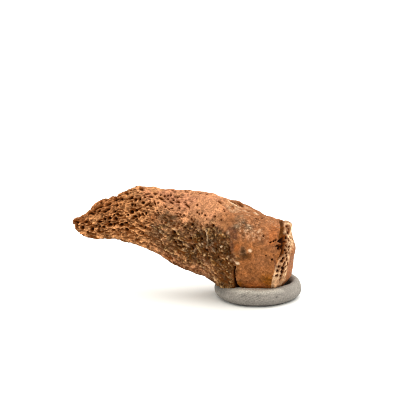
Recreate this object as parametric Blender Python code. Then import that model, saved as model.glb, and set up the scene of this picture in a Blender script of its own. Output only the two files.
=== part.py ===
"""Fossil cave bear claw, the bone core of one claw, held up by a rolled ring of modelling putty.

The bone is one solid: a deep, thin blade that curves down to a worn, spongy tip, growing out of
a broad base with a worn joint face. The base sits down in the putty ring, which took its print.
Lengths below are in millimetres, measured from the ring's axis on the table: x towards the
joint face, y across the claw, z up. The objects themselves are in metres.
"""

import math

import bmesh
import bpy
import numpy as np
from mathutils import Matrix

MM = 0.001

# Driving dimensions of the claw
TIP_X = -41.0
BACK_X = 8.2
TIP_CAP = 2.2
BACK_CAP = 2.6

# Back edge, from the tip to the joint face, as (x, z)
TOP_EDGE = ((-41.0, 15.0), (-38.2, 15.9), (-36.6, 17.6), (-35.0, 18.9), (-32.5, 19.7),
            (-29.8, 21.2), (-27.3, 22.3), (-24.5, 22.8), (-19.5, 22.5), (-14.3, 22.4),
            (-9.0, 21.5), (-3.8, 19.6), (1.5, 17.3), (5.4, 16.2), (7.9, 15.4))

# Under edge, as (x, z)
BOTTOM_EDGE = ((-41.0, 12.7), (-38.2, 11.7), (-35.6, 11.1), (-30.0, 11.0), (-26.3, 10.1),
               (-23.7, 9.3), (-21.1, 8.1), (-19.6, 6.9), (-17.1, 5.9), (-14.0, 4.8),
               (-11.0, 4.2), (-9.2, 2.9), (-7.5, 1.8), (-4.0, 1.1), (0.0, 0.9),
               (4.0, 1.0), (7.9, 1.6))

# Half the thickness across, as (x, half width)
HALF_WIDTH = ((-41.0, 1.6), (-38.0, 2.2), (-34.0, 2.7), (-30.0, 3.0), (-26.0, 3.3),
              (-22.0, 3.7), (-17.0, 4.4), (-12.0, 5.5), (-8.0, 6.9), (-4.0, 8.1),
              (0.0, 8.6), (4.0, 8.3), (7.9, 7.4))

# How much wider a section is above its middle than below it, as (x, share)
TOP_HEAVY = ((-41.0, 0.0), (-30.0, -0.08), (-20.0, -0.08), (-12.0, 0.0), (-6.0, 0.1),
             (0.0, 0.18), (7.9, 0.16))

# How far a section leaves the ellipse for a box with round corners, as (x, share)
FULLNESS = ((-41.0, 0.1), (-16.0, 0.1), (-6.0, 0.3), (7.9, 0.35))

# The joint face falls back below and above its middle, and towards its sides
HEEL_SLOPE = 4.0
BROW_SLOPE = 1.0
SIDE_SLOPE = 0.9
FACE_HALF_HEIGHT = 9.0
FACE_HALF_WIDTH = 7.0
FACE_START_X = -4.0

# Bumps and hollows on the bone: centre, radii along x, y and z, and height (minus is a hollow)
BONE_FEATURES = (
    ("chip on the back edge", (-5.2, -3.2, 19.6), (2.6, 2.4, 1.3), -0.90),
    ("small chip behind it", (-0.9, -4.8, 16.9), (1.4, 2.0, 0.9), -0.45),
    ("knob on the near side", (-1.9, -7.9, 11.4), (2.2, 3.0, 2.2), 0.45),
    ("hollow below the knob", (-0.6, -7.9, 9.0), (1.6, 3.0, 1.3), -0.40),
    ("knob on the far side", (-1.2, 8.0, 11.8), (2.6, 3.0, 2.6), 0.40),
    ("worn hollow in the near side", (-13.0, -5.0, 9.6), (5.0, 3.0, 2.4), -0.55),
    ("worn hollow in the far side", (-15.0, 5.0, 10.4), (5.5, 3.0, 2.4), -0.50),
    ("vessel furrow, near side", (-28.5, -3.0, 15.4), (6.0, 2.5, 0.9), -0.45),
    ("vessel furrow, far side", (-27.0, 3.0, 15.6), (7.0, 2.5, 0.9), -0.45),
    ("notch before the rim", (5.2, -7.2, 12.2), (1.2, 3.0, 1.6), -0.70),
    ("joint face, near half", (7.8, -3.4, 9.6), (3.0, 2.3, 5.0), -0.75),
    ("joint face, far half", (7.8, 3.4, 9.6), (3.0, 2.3, 5.0), -0.75),
)
COLLAR_X = 5.3
COLLAR_WIDTH = 0.8
COLLAR_DEPTH = 0.6
COLLAR_LOW_Z = 7.0
LUMP_HEIGHT = 0.16
SPONGE_DEPTH = 0.30
SPONGE_FULL_X = -27.0
SPONGE_END_X = -17.0

# Driving dimensions of the putty ring
RING_RADIUS = 8.0
ROLL_HALF_WIDTH = 1.32
ROLL_HEIGHT = 3.8
ROLL_FOOT_HALF_WIDTH = 0.95
RING_WAVE = 0.10
PRESS_GAP = 0.32

# The ring's axis stands this far along X, which puts the origin under the middle of the whole
AXIS_X = 15.68

# Grid of the faceted surfaces
CLAW_RINGS = 72
CLAW_AROUND = 56
BACK_SHARE = 0.12
TIP_SHARE = 0.07
PRINT_RINGS = 34
PRINT_AROUND = 40
RING_STEPS = 56
ROLL_STEPS = 14


def through_points(points, x):
    """Smooth curve through the points: a cubic between each two, with slopes they agree on."""
    px, py = np.array(points).T
    step = np.diff(px)
    slope = np.diff(py) / step
    tangent = np.concatenate(([slope[0]], np.zeros(len(px) - 2), [slope[-1]]))
    tangent[1:-1] = (slope[1:] * step[:-1] + slope[:-1] * step[1:]) / (step[1:] + step[:-1])
    i = np.clip(np.searchsorted(px, x) - 1, 0, len(step) - 1)
    t = (x - px[i]) / step[i]
    rise = t * t * (3 - 2 * t)
    from_left = t * (1 - t) ** 2 * step[i] * tangent[i]
    from_right = t * t * (1 - t) * step[i] * tangent[i + 1]
    return py[i] * (1 - rise) + py[i + 1] * rise + from_left - from_right


def fade(value, start, end):
    """0 at start, 1 at end, with a smooth step between them."""
    t = np.clip((value - start) / (end - start), 0.0, 1.0)
    return t * t * (3 - 2 * t)


def along_claw(s):
    """x for s from 0 at the joint face to 1 at the tip: round caps, and rings closer to the tip."""
    back_turn = np.clip(s / BACK_SHARE, 0.0, 1.0) * math.pi / 2
    tip_turn = np.clip((1 - s) / TIP_SHARE, 0.0, 1.0) * math.pi / 2
    middle = np.clip((s - BACK_SHARE) / (1 - BACK_SHARE - TIP_SHARE), 0.0, 1.0)
    eased = middle * (1 + 0.25 * (1 - middle))
    body = (BACK_X - BACK_CAP - TIP_X - TIP_CAP) * eased
    return BACK_X - BACK_CAP * (1 - np.cos(back_turn)) - body - TIP_CAP * np.cos(tip_turn)


def claw_point(x, angle):
    """Point of the smooth bone at x, at an angle round its section from +y over the top."""
    top = through_points(TOP_EDGE, x)
    bottom = through_points(BOTTOM_EDGE, x)
    tip_end = np.clip((TIP_X + TIP_CAP - x) / TIP_CAP, 0.0, 1.0)
    back_end = np.clip((x - BACK_X + BACK_CAP) / BACK_CAP, 0.0, 1.0)
    closing = (1 - tip_end ** 2.2) ** 0.455 * (1 - back_end ** 2) ** 0.417
    power = 2 / (2 + 1.2 * np.interp(x, *np.array(FULLNESS).T) * closing)
    across = np.sign(np.cos(angle)) * np.abs(np.cos(angle)) ** power
    upward = np.sign(np.sin(angle)) * np.abs(np.sin(angle)) ** power
    width = through_points(HALF_WIDTH, x) * closing
    lopsided = 1 + np.interp(x, *np.array(TOP_HEAVY).T) * np.sin(angle)
    rise = (top - bottom) / 2 * closing * upward
    y = width * across * lopsided
    on_face = np.clip((x - FACE_START_X) / 12.0, 0.0, 1.0) ** 1.5
    below = np.clip(-rise / FACE_HALF_HEIGHT, 0.0, 1.0)
    above = np.clip(rise / FACE_HALF_HEIGHT, 0.0, 1.0)
    fall = HEEL_SLOPE * below ** 2 + BROW_SLOPE * above ** 2 + SIDE_SLOPE * (y / FACE_HALF_WIDTH) ** 2
    return np.stack([x - on_face * fall, y, (top + bottom) / 2 + rise], axis=-1)


def bone_relief(points):
    """Height of the bone's lumps, hollows, collar groove and sponge over its smooth form."""
    x, y, z = points.T
    height = LUMP_HEIGHT * (np.sin(0.75 * x + 0.4 * z + 0.6 * y) + np.sin(1.15 * z - 0.5 * x + 0.9 * y)) / 2
    height += LUMP_HEIGHT * 0.6 * np.sin(1.7 * x + 0.9 * np.sin(1.3 * z)) * np.sin(1.9 * z - 0.8 * y)
    for _, centre, radii, rise in BONE_FEATURES:
        reach = (((points - np.array(centre)) / np.array(radii)) ** 2).sum(axis=1)
        height += rise * np.exp(-1.2 * reach)
    collar = np.exp(-((x - COLLAR_X - 0.1 * (z - 12)) / COLLAR_WIDTH) ** 2)
    height -= COLLAR_DEPTH * collar * fade(z, COLLAR_LOW_Z - 2, COLLAR_LOW_Z + 2)
    cells = np.sin(2.5 * x + 1.2 * np.sin(0.9 * z) + y) * np.sin(2.7 * z + 1.1 * np.sin(1.1 * x) - y)
    sponge = fade(x, SPONGE_END_X, SPONGE_FULL_X)
    height -= SPONGE_DEPTH * sponge * np.clip(cells, -0.4, 1.0)
    return height * fade(z, 1.2, 4.0)


def material(name, colour, roughness):
    """Principled material with a plain colour."""
    made = bpy.data.materials.new(name)
    made.use_nodes = True
    shader = made.node_tree.nodes["Principled BSDF"]
    shader.inputs["Base Color"].default_value = (*colour, 1.0)
    shader.inputs["Roughness"].default_value = roughness
    made.diffuse_color = (*colour, 1.0)
    return made


def claw_mesh(name, rings, around):
    """A ball whose poles are the joint face and the tip, drawn out to the claw's smooth form."""
    shape = bmesh.new()
    bmesh.ops.create_uvsphere(shape, u_segments=around, v_segments=rings, radius=1.0)
    ball = np.array([vertex.co for vertex in shape.verts])
    s = np.arccos(np.clip(ball[:, 2], -1.0, 1.0)) / math.pi
    places = claw_point(along_claw(s), np.arctan2(ball[:, 1], ball[:, 0]))
    for vertex, place in zip(shape.verts, places):
        vertex.co = place
    mesh = bpy.data.meshes.new(name)
    shape.to_mesh(mesh)
    shape.free()
    return mesh


def push_out(mesh, height):
    """Move each vertex along its normal: by one height, or by the height a function gives."""
    places = np.array([vertex.co for vertex in mesh.vertices])
    normals = np.array([normal.vector for normal in mesh.vertex_normals])
    rise = height(places) if callable(height) else height
    moved = places + normals * np.reshape(rise, (-1, 1))
    mesh.vertices.foreach_set("co", (moved * MM).ravel())
    mesh.update()


def place(name, mesh, stand):
    """Object for a mesh, on the stand, shaded smooth."""
    mesh.shade_smooth()
    thing = bpy.data.objects.new(name, mesh)
    bpy.context.scene.collection.objects.link(thing)
    thing.parent = stand
    return thing


def claw(stand):
    """The bone: one solid with its chips, hollows, collar groove and spongy tip."""
    mesh = claw_mesh("claw", CLAW_RINGS, CLAW_AROUND)
    push_out(mesh, bone_relief)
    bone = place("claw", mesh, stand)
    bone.data.materials.append(material("fossil bone", (0.50, 0.25, 0.12), 0.75))
    return bone


def bone_print(stand):
    """Cutter: the smooth bone, larger all round by the gap to the putty."""
    mesh = claw_mesh("bone print", PRINT_RINGS, PRINT_AROUND)
    push_out(mesh, PRESS_GAP)
    cutter = place("bone_print", mesh, stand)
    cutter.hide_render = True
    cutter.display_type = "WIRE"
    return cutter


def roll_profile():
    """Section of the putty roll: an ellipse cut off flat where it was pressed on the table."""
    lift = 0.46 * ROLL_HEIGHT
    foot_angle = math.acos(ROLL_FOOT_HALF_WIDTH / ROLL_HALF_WIDTH)
    section = []
    for angle in np.linspace(-foot_angle, math.pi + foot_angle, ROLL_STEPS):
        up = math.sin(angle) * (ROLL_HEIGHT - lift if angle > 0 and angle < math.pi
                                else lift / math.sin(foot_angle))
        section.append((RING_RADIUS + ROLL_HALF_WIDTH * math.cos(angle), lift + up))
    return section


def putty_ring(stand, cutter):
    """Roll of putty spun into a ring, a little uneven, flat below, with the bone's print cut in."""
    shape = bmesh.new()
    corners = [shape.verts.new((r, 0.0, z)) for r, z in roll_profile()]
    sides = [shape.edges.new(pair) for pair in zip(corners, corners[1:] + corners[:1])]
    bmesh.ops.spin(shape, geom=corners + sides, cent=(0, 0, 0), axis=(0, 0, 1),
                   angle=2 * math.pi, steps=RING_STEPS, use_merge=True)
    bmesh.ops.recalc_face_normals(shape, faces=shape.faces)
    for vertex in shape.verts:
        turn = math.atan2(vertex.co.y, vertex.co.x)
        wave = RING_WAVE * (math.sin(3 * turn + 0.7) + 0.6 * math.sin(7 * turn + 2.0))
        vertex.co.x += wave * math.cos(turn)
        vertex.co.y += wave * math.sin(turn)
        vertex.co.z *= 1 + 0.02 * math.sin(2 * turn + 0.5)
    mesh = bpy.data.meshes.new("putty_ring")
    shape.to_mesh(mesh)
    shape.free()
    mesh.transform(Matrix.Scale(MM, 4))
    ring = place("putty_ring", mesh, stand)
    ring.data.materials.append(material("modelling putty", (0.38, 0.39, 0.37), 0.75))
    press = ring.modifiers.new("bone print", "BOOLEAN")
    press.operation = "DIFFERENCE"
    press.solver = "EXACT"
    press.object = cutter
    return ring


def main():
    for thing in list(bpy.data.objects):
        bpy.data.objects.remove(thing, do_unlink=True)
    stand = bpy.data.objects.new("stand", None)
    bpy.context.scene.collection.objects.link(stand)
    stand.location = (AXIS_X * MM, 0.0, 0.0)
    claw(stand)
    putty_ring(stand, bone_print(stand))


main()
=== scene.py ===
"""Fossil cave bear claw in its ring of modelling putty: the finish of every surface.

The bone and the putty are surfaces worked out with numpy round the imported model. Lengths are
millimetres, measured as in the part's own source: from the ring's axis on the table, x towards
the joint face, y across the claw (minus is the near side) and z up. to_frame turns them into
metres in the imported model's frame.
"""

import itertools
import math

import bpy
import numpy as np
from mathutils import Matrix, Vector


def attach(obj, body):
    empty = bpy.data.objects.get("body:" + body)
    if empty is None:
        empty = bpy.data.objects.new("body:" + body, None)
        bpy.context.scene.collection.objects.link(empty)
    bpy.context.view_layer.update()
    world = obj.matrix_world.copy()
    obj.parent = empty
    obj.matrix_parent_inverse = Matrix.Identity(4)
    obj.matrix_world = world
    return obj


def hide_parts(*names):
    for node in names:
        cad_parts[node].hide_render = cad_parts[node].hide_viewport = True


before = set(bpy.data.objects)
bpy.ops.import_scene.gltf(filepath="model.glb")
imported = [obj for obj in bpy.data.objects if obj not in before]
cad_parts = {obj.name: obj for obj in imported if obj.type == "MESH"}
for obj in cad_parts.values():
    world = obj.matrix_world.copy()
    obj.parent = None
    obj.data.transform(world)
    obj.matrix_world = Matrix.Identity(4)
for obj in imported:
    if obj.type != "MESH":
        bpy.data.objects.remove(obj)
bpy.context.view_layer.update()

bl_info = {
    "name": "Fossil Claw",
    "version": (1, 0, 0),
    "blender": (4, 5, 0),
    "location": "3D View > Sidebar > Fossil Claw",
    "description": "Makes a fossil claw in a ring of putty, with its soft studio",
    "category": "Add Mesh",
}

MM = 0.001
# Where the ring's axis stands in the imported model's frame
AXIS_X = 15.68

# The smooth bone, as in the part's source
TIP_X = -41.0
BACK_X = 8.2
TIP_CAP = 2.2
BACK_CAP = 2.6
TOP_EDGE = (
    (-41.0, 15.0), (-38.2, 15.9), (-36.6, 17.6), (-35.0, 18.9), (-32.5, 19.7), (-29.8, 21.2), (-27.3, 22.3),
    (-24.5, 22.8), (-19.5, 22.5), (-14.3, 22.4), (-9.0, 21.5), (-3.8, 19.6), (1.5, 17.3), (5.4, 16.2),
    (7.9, 15.4),
)
BOTTOM_EDGE = (
    (-41.0, 12.7), (-38.2, 11.7), (-35.6, 11.1), (-30.0, 11.0), (-26.3, 10.1), (-23.7, 9.3), (-21.1, 8.1),
    (-19.6, 6.9), (-17.1, 5.9), (-14.0, 4.8), (-11.0, 4.2), (-9.2, 2.9), (-7.5, 1.8), (-4.0, 1.1),
    (0.0, 0.9), (4.0, 1.0), (7.9, 1.6),
)
HALF_WIDTH = (
    (-41.0, 1.6), (-38.0, 2.2), (-34.0, 2.7), (-30.0, 3.0), (-26.0, 3.3), (-22.0, 3.7), (-17.0, 4.4),
    (-12.0, 5.5), (-8.0, 6.9), (-4.0, 8.1), (0.0, 8.6), (4.0, 8.3), (7.9, 7.4),
)
TOP_HEAVY = (
    (-41.0, 0.0), (-30.0, -0.08), (-20.0, -0.08), (-12.0, 0.0), (-6.0, 0.1), (0.0, 0.18), (7.9, 0.16),
)
FULLNESS = ((-41.0, 0.1), (-16.0, 0.1), (-6.0, 0.3), (7.9, 0.35))
HEEL_SLOPE = 4.0
BROW_SLOPE = 1.0
SIDE_SLOPE = 0.9
FACE_HALF_HEIGHT = 9.0
FACE_HALF_WIDTH = 7.0
FACE_START_X = -4.0
BONE_FEATURES = (
    ("chip on the back edge", (-5.2, -3.2, 19.6), (2.6, 2.4, 1.3), -0.90),
    ("small chip behind it", (-0.9, -4.8, 16.9), (1.4, 2.0, 0.9), -0.45),
    ("knob on the near side", (-1.9, -7.9, 11.4), (2.2, 3.0, 2.2), 0.45),
    ("hollow below the knob", (-0.6, -7.9, 9.0), (1.6, 3.0, 1.3), -0.40),
    ("knob on the far side", (-1.2, 8.0, 11.8), (2.6, 3.0, 2.6), 0.40),
    ("worn hollow in the near side", (-13.0, -5.0, 9.6), (5.0, 3.0, 2.4), -0.55),
    ("worn hollow in the far side", (-15.0, 5.0, 10.4), (5.5, 3.0, 2.4), -0.50),
    ("vessel furrow, near side", (-28.5, -3.0, 15.4), (6.0, 2.5, 0.9), -0.45),
    ("vessel furrow, far side", (-27.0, 3.0, 15.6), (7.0, 2.5, 0.9), -0.45),
    ("notch before the rim", (5.2, -7.2, 12.2), (1.2, 3.0, 1.6), -0.70),
    ("joint face, near half", (7.8, -3.0, 9.6), (3.0, 1.8, 5.0), -0.35),
    ("joint face, far half", (7.8, 3.4, 9.6), (3.0, 2.3, 5.0), -0.75),
    ("upper corner of the rim", (6.0, 2.2, 15.1), (1.3, 3.6, 1.2), 1.25),
    ("bulge beside the rim", (7.6, 2.5, 11.4), (1.2, 3.0, 1.6), 0.42),
    ("cut back heel of the joint face", (8.0, 0.0, 7.4), (2.0, 5.0, 2.6), -0.40),
    ("upper lip of the tip", (-41.0, 0.0, 14.2), (0.8, 3.0, 0.8), 0.45),
    ("broken end of the tip", (-41.0, 0.0, 12.8), (0.9, 3.0, 1.1), -0.75),
    ("fuller underside at the tip", (-36.0, 0.0, 11.3), (4.0, 3.0, 1.0), 0.22),
    ("fuller underside along the blade", (-24.0, 0.0, 9.4), (6.0, 4.0, 1.3), 0.22),
    ("low swelling before the ring", (-12.3, -1.0, 4.4), (2.6, 4.0, 1.2), 0.45),
    ("low swelling of the crest", (1.9, -1.0, 18.0), (2.6, 3.5, 1.0), 0.28),
    ("shell over the chip", (-4.7, 1.7, 19.7), (1.6, 0.6, 0.8), 0.35),
)
# The lobe of the near side that leans on the ring
LOBE = ("lobe on the ring", (-6.0, -5.2, 3.2), (3.2, 2.2, 1.4), 1.15)
BELL_FALL = 1.2
GROOVE_WIDTH = 0.38
GROOVE_DEPTH = 0.75
LUMP_HEIGHT = 0.16

# Grid of the bone: rings on the joint face, along the blade and over the tip, and points round
FACE_RINGS = 52
BLADE_RINGS = 318
TIP_RINGS = 16
BONE_AROUND = 256

# Heights of the bone's small forms
CREAM_HEIGHT = 0.18
CRUST_HEIGHT = 0.06
PALE_RIDGE_HEIGHT = 0.14
BLADE_RIDGE_HEIGHT = 0.10
SPONGY_LIFT = 0.14
TIP_JAG_HEIGHT = 0.16

# Sizes of the cells of spongy and dense bone: along the blade, across it and up it
NET_CELL = (1.50, 0.88, 0.76)
SMALL_NET_CELL = (0.95, 0.52, 0.48)
FIBRE_CELL = (2.2, 0.42, 0.34)
BLADE_RIDGE_CELL = (5.5, 0.85, 0.80)
SLOT_CELL = (1.5, 0.55, 0.42)
PINHOLE_SPACING = 0.85
RIM_CELL_SPACING = 0.80
# The slope along which water drew out the cave earth
EARTH_RUN = math.radians(-32)

# Where one finish of the near side gives way to another, as (x, z), or as (z, x) for the borders
# that stand up
DENSE_EDGE = (
    (-30.0, 26.0), (-26.0, 23.2), (-22.0, 20.8), (-17.0, 19.0), (-12.0, 17.9), (-9.0, 16.6), (-6.0, 14.6),
    (-4.0, 11.5), (-3.2, 8.0), (-3.0, 0.0), (8.0, 0.0),
)
DIRT_TOP = (
    (-26.0, 13.0), (-22.5, 15.9), (-19.5, 16.6), (-17.5, 16.2), (-15.5, 16.6), (-13.0, 17.6), (-9.0, 17.2),
    (-4.0, 15.6),
)
DIRT_RIGHT = ((1.0, -3.4), (7.5, -3.5), (9.5, -3.1), (12.0, -3.8), (15.7, -5.2), (18.0, -6.5))
RIM_LEFT = (
    (4.0, 5.28), (5.85, 5.38), (6.6, 5.48), (7.6, 5.66), (8.5, 5.86), (9.3, 6.14), (10.0, 6.5),
    (10.45, 6.84), (10.8, 7.15), (11.2, 7.38), (11.9, 7.38), (12.6, 7.33), (13.2, 7.27), (13.8, 7.23),
    (14.3, 7.08), (14.8, 6.92), (15.2, 6.78), (16.2, 6.5),
)
RIM_RIGHT = (
    (3.5, 7.1), (4.1, 7.29), (4.7, 7.56), (6.4, 7.65), (7.7, 7.68), (8.9, 7.85), (10.1, 7.94), (11.3, 7.95),
    (12.0, 7.9), (12.6, 7.88), (13.2, 8.0), (14.0, 8.15), (18.0, 8.3),
)
# The rim's start over the crest, as (y, x)
RIM_LEFT_OVER = (
    (-4.2, 6.86), (-3.4, 6.77), (-2.6, 6.62), (-1.9, 6.42), (-0.95, 6.14), (1.0, 5.85), (3.25, 5.42),
    (4.5, 5.9), (6.0, 6.8),
)

# How far each side of the middle the near side fades out, and what every mark's half sizes gain
NEAR_EDGE = 0.8
MARK_MARGIN = 0.04

# A mark is (x, z, half length, half width) and, where it leans, its slope in degrees. These are
# the near side's pores: the tip's, the back's, the cave earth's and those before the rim.
TIP_PORES = (
    (-39.4, 14.5, .28, .25), (-39.6, 13.7, .52, .23, 90), (-37.4, 14.9, .43, .23, 10),
    (-38.2, 13.6, .41, .41), (-35.9, 13.4, .52, .34, 55), (-34.3, 15.2, .47, .25), (-34.2, 14.1, .3, .2, 60),
    (-35.0, 14.3, .2, .18), (-37.0, 12.6, .27, .23), (-34.5, 12.8, .45, .3), (-34.3, 18.3, .75, .19, 12),
    (-34.4, 19.1, .34, .15), (-35.7, 17.4, .23, .23), (-36.0, 16.8, .41, .18, 10),
    (-34.5, 17.5, .45, .18, 35), (-37.0, 17.1, .18, .18), (-33.1, 17.5, .38, .21, 10),
    (-32.0, 16.2, .43, .34, 10), (-33.1, 15.9, .32, .3), (-31.9, 14.6, .59, .3, 15),
    (-30.9, 14.8, .32, .18, 90), (-29.3, 14.8, .45, .3, 25), (-28.3, 15.2, .34, .21),
    (-30.6, 16.1, .41, .39), (-32.2, 15.2, .27, .21, 20), (-33.4, 14.0, .32, .28), (-29.5, 20.4, .38, .21),
    (-30.7, 20.1, .75, .17, 14), (-31.2, 20.4, .32, .17, 10), (-28.7, 21.5, .62, .16, -5),
    (-27.3, 20.8, .54, .2, 30), (-26.2, 20.5, .32, .28), (-25.2, 20.7, .3, .23, 90), (-24.4, 20.0, .32, .23),
    (-25.3, 22.5, .41, .16, 5), (-26.9, 19.4, .27, .23), (-26.2, 19.4, .23, .2, 90), (-25.9, 18.3, .32, .25),
    (-26.9, 17.9, .47, .39), (-26.2, 16.9, .5, .21, 10), (-25.2, 17.2, .37, .18, 90), (-24.5, 17.6, .2, .21),
    (-23.7, 17.8, .32, .17, -60), (-25.8, 16.2, .18, .18), (-23.9, 14.6, .25, .18, 90),
    (-30.0, 17.2, .38, .21), (-30.7, 17.7, .25, .18), (-27.7, 17.2, .23, .17), (-28.0, 13.9, .45, .34),
    (-24.4, 13.1, .23, .18), (-32.4, 18.0, .45, .21, 15), (-30.3, 19.0, .29, .23), (-40.1, 14.7, .3, .2),
    (-39.3, 15.2, .25, .16), (-40.5, 14.0, .18, .26), (-36.7, 16.8, .6, .2, 28), (-32.4, 19.0, .65, .18, 22),
    (-35.4, 17.9, .45, .17, 25),
)
BACK_PORES = (
    (-23.7, 21.7, .65, .15, 5), (-22.0, 21.9, .52, .15), (-22.8, 21.2, .5, .17), (-24.1, 21.0, .27, .17),
    (-20.6, 21.0, .7, .18, -22), (-20.8, 21.7, .2, .14), (-19.9, 21.5, .2, .2), (-19.2, 21.6, .17, .18),
    (-18.6, 21.7, .18, .2), (-19.1, 21.0, .25, .14), (-17.9, 20.9, .25, .16), (-18.3, 20.4, .59, .15, -25),
    (-16.7, 20.6, .45, .16, -22), (-14.6, 20.0, .77, .16, -28), (-21.1, 20.1, .2, .16),
    (-21.8, 20.0, .51, .18, -62), (-19.5, 19.4, .2, .18), (-18.0, 19.2, .36, .13), (-16.4, 19.4, .23, .14),
    (-12.4, 20.3, .2, .16), (-12.3, 18.9, .2, .16, -40), (-11.8, 18.6, .16, .16), (-11.2, 18.8, .15, .15),
    (-10.4, 18.5, .2, .17, -30), (-17.0, 21.4, .17, .14), (-16.0, 18.1, .23, .21, -30),
    (-13.5, 17.4, .37, .22, -60), (-25.2, 18.7, .8, .16, 28), (-23.4, 19.7, .95, .16, 32),
    (-6.37, 19.8, .18, .1), (-8.3, 18.5, .2, .17), (-6.8, 18.0, .2, .15), (-8.56, 16.5, .2, .22),
    (2.4, 15.2, .15, .13), (3.25, 11.4, .13, .12),
)
DIRT_PORES = (
    (-17.3, 14.2, .43, .34, -30), (-17.1, 12.0, .41, .26), (-16.1, 12.1, .61, .18, -40),
    (-16.4, 11.0, .76, .16, -35), (-15.4, 11.1, .43, .18, 10), (-13.3, 10.9, .38, .31, 30),
    (-12.9, 11.7, .25, .21), (-10.3, 11.0, .56, .49), (-9.9, 9.1, .31, .28, -50), (-7.2, 10.1, .3, .26),
    (-7.6, 11.7, .44, .25, 90), (-5.2, 9.6, .23, .21), (-19.4, 8.3, .76, .26, -25),
    (-21.8, 10.6, .28, .18, -25), (-22.8, 11.1, .3, .18, -25), (-13.3, 16.3, .25, .23),
    (-14.9, 15.5, .3, .17, -10), (-8.5, 16.7, .28, .21, -40), (-11.1, 13.5, .38, .31),
    (-13.7, 13.2, .28, .26), (-8.1, 5.4, .23, .16), (-12.0, 7.3, .23, .18), (-14.5, 7.9, .18, .16),
    (-16.5, 6.0, .76, .14, -25), (-4.5, 12.0, .78, .08, -70),
)
NOTCH_PORES = (
    (6.15, 14.0, .4, .36), (5.75, 14.05, .31, .16), (4.54, 14.16, .13, .11), (3.99, 14.02, .16, .06),
    (4.88, 14.35, .16, .06), (6.15, 12.75, .3, .4), (5.78, 13.25, .32, .13), (4.49, 10.46, .2, .14),
    (5.88, 8.75, .26, .19), (5.57, 7.85, .24, .24), (5.42, 6.8, .25, .27), (6.17, 6.4, .26, .28),
)

# Pores of the rim, with y for x
RIM_PORES = (
    (-3.1, 12.12, .55, .16), (-3.55, 11.58, .45, .17), (-4.95, 11.82, .3, .22), (-4.73, 11.16, .42, .24),
    (-3.3, 10.9, .26, .26), (-4.68, 10.52, .44, .18), (-6.07, 10.31, .34, .24), (-4.87, 9.8, .34, .34),
    (-6.57, 9.86, .32, .25), (-5.8, 9.05, .3, .56), (-4.53, 8.71, .34, .34), (-6.3, 8.38, .3, .27),
    (-5.81, 7.98, .33, .35), (-5.21, 8.33, .18, .14), (-6.3, 7.6, .28, .26), (-5.92, 7.13, .36, .28),
    (-4.97, 7.17, .26, .26), (-5.7, 5.6, .13, .4), (-2.6, 14.06, .5, .3), (-1.9, 13.4, .42, .24),
    (-0.5, 13.5, .32, .2), (-3.9, 13.45, .34, .2), (-4.3, 12.6, .3, .24),
)

# Chips, pores, pale lips and crusts of the crest, with y for z, and its pink streak as (x, y)
CREST_CHIPS = (
    (-5.43, 0.46, .5, .3), (-3.95, 1.0, .64, .45), (-12.4, 1.4, .4, .3), (-18.5, -0.6, .3, .2),
    (-1.92, -0.28, .14, .3), (0.03, -2.42, .1, .12), (0.42, -2.21, .1, .15), (1.02, -1.32, .11, .2),
    (-0.55, 0.6, .6, .16),
)
CREST_PORES = (
    (-12.5, -0.4, .15, .28), (-14.9, -0.3, .16, .28), (-15.7, -0.5, .15, .28), (-11.1, -0.1, .2, .3),
    (-7.8, -2.3, .46, .26), (-5.1, -1.1, .18, .2),
)
CREST_LIPS = ((-5.1, -0.38, 1.6, .22, 3), (-0.45, -0.5, .5, .5))
CREST_CRUSTS = (
    (-6.0, -0.5, .6, .5), (-4.6, -0.9, 1.3, .5, -12), (-2.6, 1.2, 1.0, .6), (-2.5, -1.1, .9, .6),
    (-1.6, -2.6, .4, .4),
)
PINK_STREAK = ((-0.4, 4.6), (0.74, 3.0), (2.05, 0.4), (3.2, -1.2), (4.4, -2.4))

# The crack of the base and the raised pale line on the cave earth, as (x, z)
CRACK = (
    (-3.45, 8.4), (-3.57, 7.6), (-3.61, 6.9), (-3.66, 6.0), (-3.53, 5.1), (-3.49, 4.3), (-3.11, 3.4),
    (-2.9, 2.7), (-2.6, 2.0),
)
RIDGE = (
    (-9.8, 15.5), (-9.5, 13.7), (-9.7, 12.3), (-10.2, 10.8), (-11.1, 8.8), (-10.0, 7.8), (-8.9, 6.8),
    (-8.0, 5.6),
)

# Stained and worn places of the near side, with painted light and shade among them: BROWN_SPOTS holds
# painted shadow at the lobe's foot over the putty as well as stains, and the patch at the foot of the base
# is painted paler where the putty shades it.
WASHED_PLACES = ((-9.2, 6.9, 2.8, 1.2, -32), (-13.4, 12.4, .8, .6), (-16.2, 9.2, 1.6, .5, -30))
GREY_STAINS = (
    (-2.7, 17.9, 1.5, .8, -35), (-3.6, 16.7, 1.1, .9), (-0.9, 16.7, 1.4, .6, -30), (6.4, 15.0, .45, .45),
    (-1.5, 12.0, .9, 1.1, 20), (-19.0, 17.2, 2.6, 1.6, -8), (-20.4, 14.6, 2.2, 1.2, 10),
    (-5.9, 4.5, 1.1, 1.0),
)
MAUVE_STAINS = (
    (-4.4, 16.1, 1.0, .8, -20), (-3.6, 15.0, .9, 1.0), (-5.0, 14.8, 1.7, 1.8, 20),
    (-7.3, 15.7, 1.8, .8, -30), (-4.3, 12.6, .9, 3.0, 4), (-3.5, 10.2, .6, 1.4), (-3.9, 16.0, 1.0, .8),
    (5.3, 8.0, .24, 3.4, 6),
)
# Dark brown stains, and painted shadow at the lobe's foot over the putty (the mark at -4.0, 3.2)
BROWN_SPOTS = (
    (-1.0, 11.0, 1.2, 1.0, -20), (-1.5, 12.2, .5, .9, 15), (-2.5, 10.3, .6, .5), (-4.75, 12.8, .22, 2.2, 8),
    (-4.0, 3.2, 1.4, .5), (-40.9, 13.2, .35, .8), (-36.4, 12.2, 1.3, .4, -5), (-33.0, 12.4, 1.6, .6, -8),
    (-18.9, 17.2, 1.3, 1.0),
)
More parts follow.
